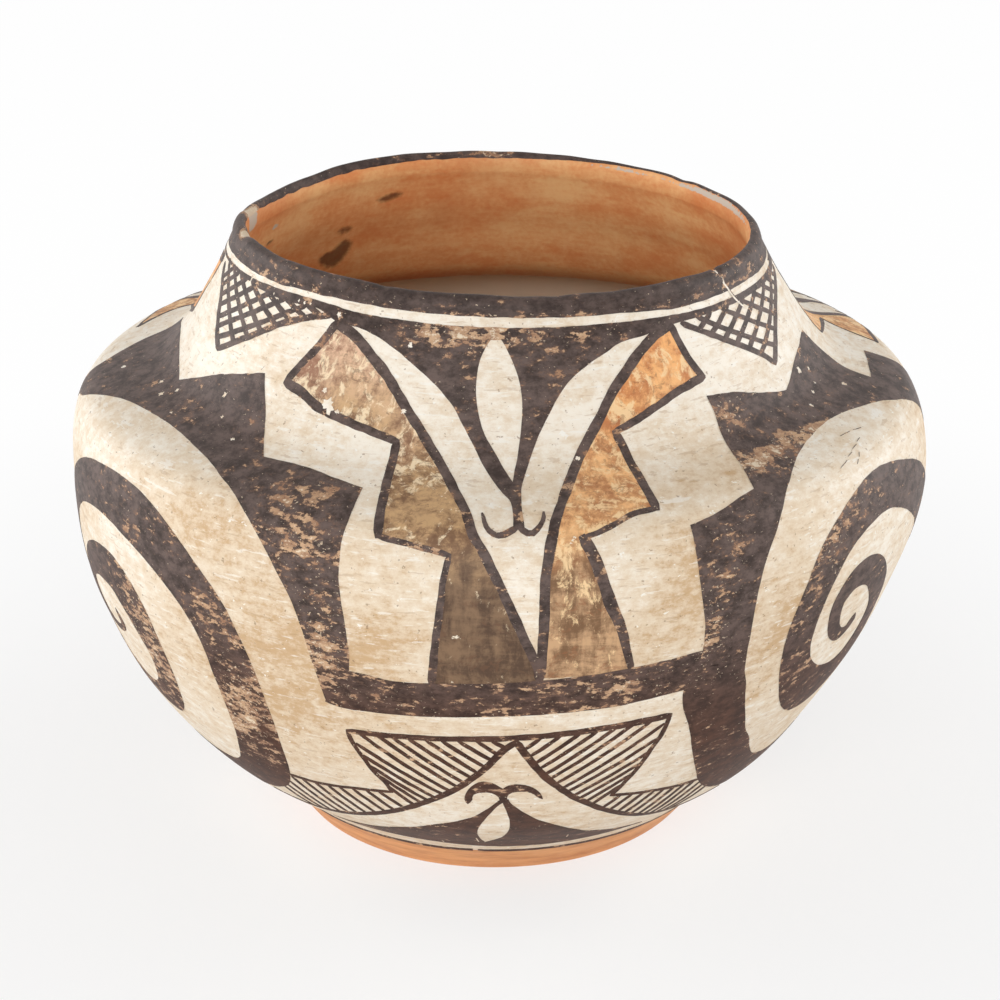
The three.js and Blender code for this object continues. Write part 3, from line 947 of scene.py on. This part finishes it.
leftSpiral = {
    "stripLeft": [(-99.3, 183.8), (-98.2, 178), (-96.6, 172.4), (-92.5, 165.6), (-90.2, 161),
                  (-89.8, 156), (-90.6, 149)],
    "shelf": [(-90.6, 149), (-95, 147.5), (-102, 144)],
    "outer": [(-102, 144), (-101.6, 138), (-101, 132), (-100.4, 118), (-101.5, 108), (-100.6, 98),
              (-98.5, 89.4), (-96.2, 78.5), (-93, 67.3), (-88.5, 55.5), (-82, 46.5), (-72, 41),
              (-60, 39.6), (-50, 42.3), (-43.5, 46.6), (-38.5, 51), (-34, 58), (-31.3, 68), (-30.3, 80),
              (-30.2, 95), (-31, 107.7), (-32.7, 117.7), (-35.3, 127.7), (-39.3, 136.3), (-44.7, 144.9),
              (-50, 149.2), (-55.3, 150.4), (-60.7, 149.8), (-67.3, 147), (-72.7, 141.5), (-78, 133),
              (-81, 122), (-82, 110), (-80.5, 97), (-77, 87), (-72, 80), (-65, 75.5), (-58, 72.8),
              (-53.6, 73.4), (-50.5, 79), (-48.9, 88), (-48.4, 98), (-49, 106), (-50.8, 114.9),
              (-54, 121.6), (-58, 125.2), (-62, 125.2), (-67, 122.2), (-71, 116), (-73, 108),
              (-71.5, 100), (-68, 95.6), (-64, 95.3), (-61, 97), (-59.6, 100.3), (-60.2, 103.3),
              (-61.4, 105)],
    "inner": [(-61.4, 105), (-61.4, 103), (-61, 100.6), (-62.2, 98.6), (-65, 98.2), (-67.5, 101.5),
              (-68.6, 108), (-66.6, 111.6), (-63, 113.2), (-60, 112.6), (-57, 108), (-55, 103),
              (-53.7, 97), (-53.9, 91), (-55, 86), (-57.4, 82), (-61, 80.8), (-66, 84), (-72, 92),
              (-75.5, 102), (-76.3, 113), (-74.5, 124), (-70, 131.5), (-64.7, 135), (-59.3, 135.8),
              (-54, 134.2), (-48.7, 130.6), (-43.3, 123.5), (-40, 114.9), (-38.7, 106.3), (-38.2, 92),
              (-38.6, 80), (-40, 72), (-42.4, 64), (-45.5, 59.6), (-50, 57.4), (-58, 56.3), (-66, 56.6),
              (-74, 59.5), (-80, 65), (-85, 75), (-88.5, 86), (-91, 98), (-92.6, 108), (-93.4, 120),
              (-93.4, 132), (-91, 144), (-86.6, 151), (-82, 154.4), (-79, 158), (-75.4, 162.4),
              (-71.3, 166.4), (-66, 169.2), (-60, 170.7), (-55.3, 170.8), (-50, 169.4), (-46, 167.6),
              (-42.7, 165.6), (-39.3, 162.5), (-36, 159.3), (-32.7, 154.6), (-29.7, 148.9), (-27.4, 142),
              (-25.5, 135), (-24, 127), (-22.9, 119), (-22, 112), (-21, 103.6)],
    "foot": [(-21, 103.6), (-19.4, 103)],
    "stripRight": [(-19.4, 103), (-18, 112), (-17.7, 120), (-18.2, 128), (-18.9, 140), (-18.8, 150),
                   (-18.5, 160), (-18.7, 169.4)],
    "step": [(-18.7, 169.4), (-24, 172), (-28, 173.6), (-32, 174), (-36.3, 173.6)],
    "blockRight": [(-36.3, 173.6), (-39.7, 181.1), (-42, 187.3), (-44, 192), (-45.6, 196.4)],
    "blockTop": [(-45.6, 196.4), (-48, 195.3), (-54, 192.6), (-58, 190.5), (-62, 187.5), (-68.2, 182.4)],
    "blockNotch": [(-68.2, 182.4), (-72, 184.6), (-76, 186.2), (-80, 187.4), (-85, 188), (-90, 187.3),
                   (-95, 185.4), (-99.3, 183.8)],
}


# netted triangles hung from the neck band

leftNet = {  # threads: the angles where they leave a side, and how the first and the last of them lean
    "left": [(-78.5, 214), (-76, 211.7), (-72, 208.4), (-68, 203.4), (-64, 198.4), (-61.7, 196.2)],
    "right": [(-61.7, 196.2), (-58, 199.5), (-52, 204.5), (-48, 208), (-44, 210.8), (-40, 213), (-34, 215.4)],
    "fromRight": ([-57.5, -53.8, -50.5, -47.1, -43.6, -40.1, -36.6], (-2.35, 2.15), (-3.6, 1.5)),
    "fromLeft": ([-64, -65.9, -67.6, -69.5, -71.4, -73.4, -75.4], (3.4, 2.6), (2.7, 2.6)),
    "top": 216.2,
}

rightNet = {
    "left": [(38.6, 213.8), (42, 211), (46, 207.8), (50, 204.3), (54, 200.6), (58, 196), (59.4, 193.4)],
    "right": [(59.4, 193.4), (63, 198), (66, 201.5), (68.5, 204), (72, 206.7), (76, 209), (80, 210.8),
              (86, 212.6)],
    "fromRight": ([62.6, 65.8, 69, 72.2, 75.4, 78.6, 81.8], (-2.85, 2.45), (-2.85, 2.45)),
    "fromLeft": ([56.55, 53.7, 50.85, 48, 45.15, 42.3], (3.2, 2.45), (3.2, 2.45)),
    "top": 214.4,
}

netWidths = {"left": (1.7, 1.9), "right": (1.9, 1.8), "thread": (1.6, 1.5)}


def sidePoint(side, angle):  # where a side of the net is at an angle
    return min(guide(side), key=lambda point: abs(point[0] - angle))


def netLines(side, threads, top):  # threads of the net, from a side up to the band
    angles, first, last = threads
    lines = []
    for index, angle in enumerate(angles):
        start = sidePoint(side, angle)
        share = index / (len(angles) - 1)
        lean = [a + (b - a) * share for a, b in zip(first, last)]
        end = (start[0] + lean[0] * (top - start[1]) / lean[1], top)
        lines.append([brushLine([start, end], *netWidths["thread"])])
    return lines


def paintNet(tag, net, shift):
    shapes = [[brushLine(net[side], *netWidths[side])] for side in ("left", "right")]
    shapes += netLines(net["right"], net["fromRight"], net["top"])
    shapes += netLines(net["left"], net["fromLeft"], net["top"])
    layPaint("net_" + tag, shapes, shift=shift)


# bands that go all the way round

neckBand = {
    "top": [(-59.6, 217), (-48, 217.8), (-36, 218), (-30, 217.5), (0, 217.2), (24, 217.1), (34, 216.7),
            (44, 216.2), (60, 216.1), (80, 215.6), (110, 215.8), (180, 216.4), (240, 216.2), (280, 216.3),
            (299.6, 217)],
    "bottom": [(299.6, 215.8), (280, 215.6), (240, 214.6), (180, 214.4), (110, 213.8), (80, 213.6),
               (60, 214.2), (40, 214.2), (20, 214), (0, 214), (-29, 213.8), (-33, 214.2), (-37, 216),
               (-42, 215.8), (-47, 215.5), (-54, 215.4), (-59.6, 215.8)],
}
footLine = {
    "top": [(-4.4, 16.2), (60, 16), (120, 15.8), (180, 16.2), (240, 16), (300, 15.8), (354.4, 16.4)],
    "bottom": [(354.4, 14.7), (300, 14.3), (240, 14.4), (180, 14.6), (120, 14.2), (60, 14.5), (-4.4, 14.6)],
}
lipBand = {
    "bottom": [(-180, 219), (-120, 218.6), (-84, 218.2), (-60, 218.6), (-48, 218.9), (-44, 219.5),
               (-30, 219.8), (0, 219.8), (24, 219.5), (30, 219), (38, 218.1), (60, 218.3), (76, 217.8),
               (100, 217.6), (180, 219)],
    # how far it goes over the lip, as a share of the way
    "over": [(-180, 0.8), (-140, 0.84), (-100, 0.8), (-80, 0.72), (-40, 0.7), (0, 0.7), (50, 0.66),
             (100, 0.62), (140, 0.62), (180, 0.8)],
    "rows": 14,
    "sides": 360,
    "waver": 0.25,  # unsteadiness of its lower edge in mm, and of its upper edge as a share of the lip
    "overWaver": 0.04,
    "waverRun": 3,
}
crack = {  # old crack in the rim, filled pale
    "pale": [(53.4, lipCrest), (53.6, 222.4), (54.7, 219), (55.2, 216.8), (56.6, 214), (58.2, 211.6)],
    "dark": [(54.9, 219.8), (55.6, 217), (56.5, 215)],
    "paleWidths": (0.5, 0.7, 0.5),
    "darkWidth": 0.35,
}
chipEdge = {"corners": 18, "ragged": 2.6, "fill": 0.85, "stretch": 1.4}
# angle, distance and size of each chip
chips = [(-30, 192.8, 1.9), (-31.4, 196.4, 0.8), (-27.8, 191.8, 0.7), (-16, 194.4, 0.7),
         (-16.5, 211.2, 0.8), (-67.5, 176, 0.9), (-65.5, 180, 0.7), (-52.8, 186.8, 0.8),
         (-84.5, 168.4, 0.9), (-71.8, 178, 0.8), (-60, 174, 0.5), (-50, 181, 0.5), (-44, 176, 0.6),
         (65.5, 187.6, 1.1), (64, 180.8, 0.8), (67, 181.6, 0.7), (73, 175.2, 0.9), (69, 186, 0.6),
         (60, 178, 0.6), (12.5, 182, 0.7), (10, 184, 0.8), (-32.4, 215.8, 0.8), (-43, 216.6, 0.4),
         (-41.4, 216.5, 0.45), (-39.8, 216.7, 0.35), (-50.6, 216, 0.3)]
scratchWidths = (0.2, 0.12)
scratches = [[(61.2, 163.2), (59.4, 164.3)], [(58.6, 164.5), (56, 165.1)], [(58.5, 161.2), (57.2, 160.8)],
             [(56.5, 160.3), (55, 159.8)], [(54.3, 159.1), (53, 158.6)], [(52.2, 157.9), (50, 156.8)],
             [(55.5, 158), (54.9, 157)], [(54.3, 156.5), (53.6, 155.6)]]


def chipShape(angle, distance, size):  # ragged spot where the paint came away
    loop = []
    ragged = chipEdge["ragged"]
    for index in range(chipEdge["corners"]):
        turn = math.tau * index / chipEdge["corners"]
        feel = Vector((angle + ragged * math.cos(turn), distance + ragged * math.sin(turn), 2))
        reach = size * (chipEdge["fill"] + noise.noise(feel))
        x = angle * degreeRun + chipEdge["stretch"] * reach * math.cos(turn)
        loop.append((x, distance + reach * math.sin(turn)))
    return loop


def paintStrip(name, strip):  # a band with a small break, where its two ends nearly meet
    ends = [strip["top"][-1], strip["bottom"][0]]
    start = [strip["bottom"][-1], strip["top"][0]]
    layPaint(name, [[outline(strip["top"], ends, strip["bottom"], start)]])


def paintLip():  # ring of paint over the lip
    rows = lipBand["rows"]
    ring = [(2, row / rows) for row in range(rows + 1)]
    ring += [(1, row / rows) for row in range(rows, -1, -1)]
    bm = revolve(ring, True, lipBand["sides"])
    for vert in bm.verts:
        angle = math.degrees(math.atan2(vert.co.x, -vert.co.y))
        outer = math.hypot(vert.co.x, vert.co.y) > 1.5  # between the ring's two radii
        run = angle / lipBand["waverRun"]
        low = valueAt(lipBand["bottom"], angle) + lipBand["waver"] * noise.noise(Vector((run, 0, 0)))
        over = valueAt(lipBand["over"], angle) + lipBand["overWaver"] * noise.noise(Vector((run, 9, 0)))
        high = wallLength + lipLength * over
        vert.co = (angle * degreeRun, low + (high - low) * vert.co.z, 1 if outer else 0)
    finishPaint(bm, "lip_paint", "black_paint")


panels = {  # place round the jar, then both figures and their washes
    "front": (0, {"left": (leftFigure, "brown_paint"), "right": (rightFigure, "orange_paint")}),
    "right": (115, {"left": (narrowFigure, "orange_paint"), "right": (rightFigure, "brown_paint")}),
    "left": (-126, {"left": (leftFigure, "brown_paint"), "right": (wideFigure, "orange_paint")}),
}
for tag, (shift, figures) in panels.items():
    paintPanel(tag, figures, shift)
    paintFan(tag, shift)
print("figures and fans")

between = {  # what is painted between two panels, and how far round it is moved
    "right": (rightSpiral, rightNet, 0),
    "left": (leftSpiral, leftNet, 0),
    "back": (rightSpiral, rightNet, 117),
}
for tag, (spiral, net, shift) in between.items():
    layPaint("spiral_" + tag, [[outline(*spiral.values())]], shift=shift)
for tag, (spiral, net, shift) in between.items():
    paintNet(tag, net, shift)
print("spirals and nets")

paintStrip("neck_band", neckBand)
paintStrip("foot_line", footLine)
paintLip()
layPaint("crack_pale", [[brushLine(crack["pale"], *crack["paleWidths"])]], "cream_slip")
layPaint("crack_dark", [[brushLine(crack["dark"], crack["darkWidth"])]])
layPaint("chips", [[chipShape(*chip)] for chip in chips], "cream_slip")
layPaint("scratches", [[brushLine(points, *scratchWidths)] for points in scratches])
print("bands")


# view and light

cameraView = {
    "place": (1.3, -700, 387.45),
    "lookDown": 22.988,
    "lens": 91.29,
    "sensor": 36,
    "near": 0.01,
}

camera = bpy.data.objects.new("camera", bpy.data.cameras.new("camera"))
camera.data.lens = cameraView["lens"]
camera.data.sensor_width = cameraView["sensor"]
camera.data.clip_start = cameraView["near"]
camera.location = Vector(cameraView["place"]) * mm
camera.rotation_euler = (math.radians(90 - cameraView["lookDown"]), 0, 0)
scene.collection.objects.link(camera)
scene.camera = camera

softboxes = {  # place, size in metres and power
    "left_softbox": ((-1.17, 0.31, 0.42), (0.9, 0.9), 8.9),
    "right_softbox": ((1.17, 0.31, 0.42), (0.9, 0.9), 9.6),
    "front_softbox": ((-0.28, -1.4, 0.58), (1.0, 0.8), 12),
}
lit = Vector((0, 0, 0.1))  # where they all point
for name, (place, size, power) in softboxes.items():
    lamp = bpy.data.objects.new(name, bpy.data.lights.new(name, "AREA"))
    lamp.data.shape = "RECTANGLE"
    lamp.data.size = size[0]
    lamp.data.size_y = size[1]
    lamp.data.energy = power
    lamp.location = place
    lamp.rotation_euler = (lit - Vector(place)).to_track_quat("-Z", "Y").to_euler()
    scene.collection.objects.link(lamp)

studio = {
    "glow": 0.3,  # light from all round
    "floorSize": 3,
    "paper": (0.94, 0.935, 0.93, 1),
    "fade": (0.1, 0.4),  # metres from the jar over which the paper goes to plain white
    "fadeFar": 0.3,
    "fadeNear": 0.68,
}


def seenRays(tree):  # 1 for what the camera sees, straight or in a reflection
    rays = tree.nodes.new("ShaderNodeLightPath")
    seen = sums(tree, "MAXIMUM", rays.outputs["Is Camera Ray"], rays.outputs["Is Glossy Ray"])
    return sums(tree, "MAXIMUM", seen, rays.outputs["Is Transmission Ray"])


world = bpy.data.worlds.new("studio")
world.use_nodes = True
scene.world = world
tree = world.node_tree
tree.nodes.clear()
glow = tree.nodes.new("ShaderNodeBackground")
glow.inputs["Color"].default_value = (1, 1, 1, 1)
strength = tree.nodes.new("ShaderNodeMapRange")
strength.inputs["To Min"].default_value = studio["glow"]
tree.links.new(seenRays(tree), strength.inputs["Value"])
tree.links.new(strength.outputs["Result"], glow.inputs["Strength"])
sky = tree.nodes.new("ShaderNodeOutputWorld")
tree.links.new(glow.outputs["Background"], sky.inputs["Surface"])

bm = bmesh.new()
bmesh.ops.create_grid(bm, x_segments=1, y_segments=1, size=studio["floorSize"])
paper, tree, shader = startMaterial("white_paper", 0.9)
shader.inputs["Base Color"].default_value = studio["paper"]
place = tree.nodes.new("ShaderNodeTexCoord")
away = tree.nodes.new("ShaderNodeVectorMath")
away.operation = "LENGTH"
tree.links.new(place.outputs["Object"], away.inputs[0])
white = tree.nodes.new("ShaderNodeEmission")
blend = tree.nodes.new("ShaderNodeMixShader")
far = ramp(tree, away.outputs["Value"], *studio["fade"])
fade = weighed(tree, (far, studio["fadeFar"]), (seenRays(tree), studio["fadeNear"]))
tree.links.new(sums(tree, "MULTIPLY", fade, seenRays(tree)), blend.inputs[0])
tree.links.new(shader.outputs["BSDF"], blend.inputs[1])
tree.links.new(white.outputs["Emission"], blend.inputs[2])
tree.links.new(blend.outputs["Shader"], tree.nodes["Material Output"].inputs["Surface"])
floor = placeMesh("studio_floor", bm, paper)
print("studio")
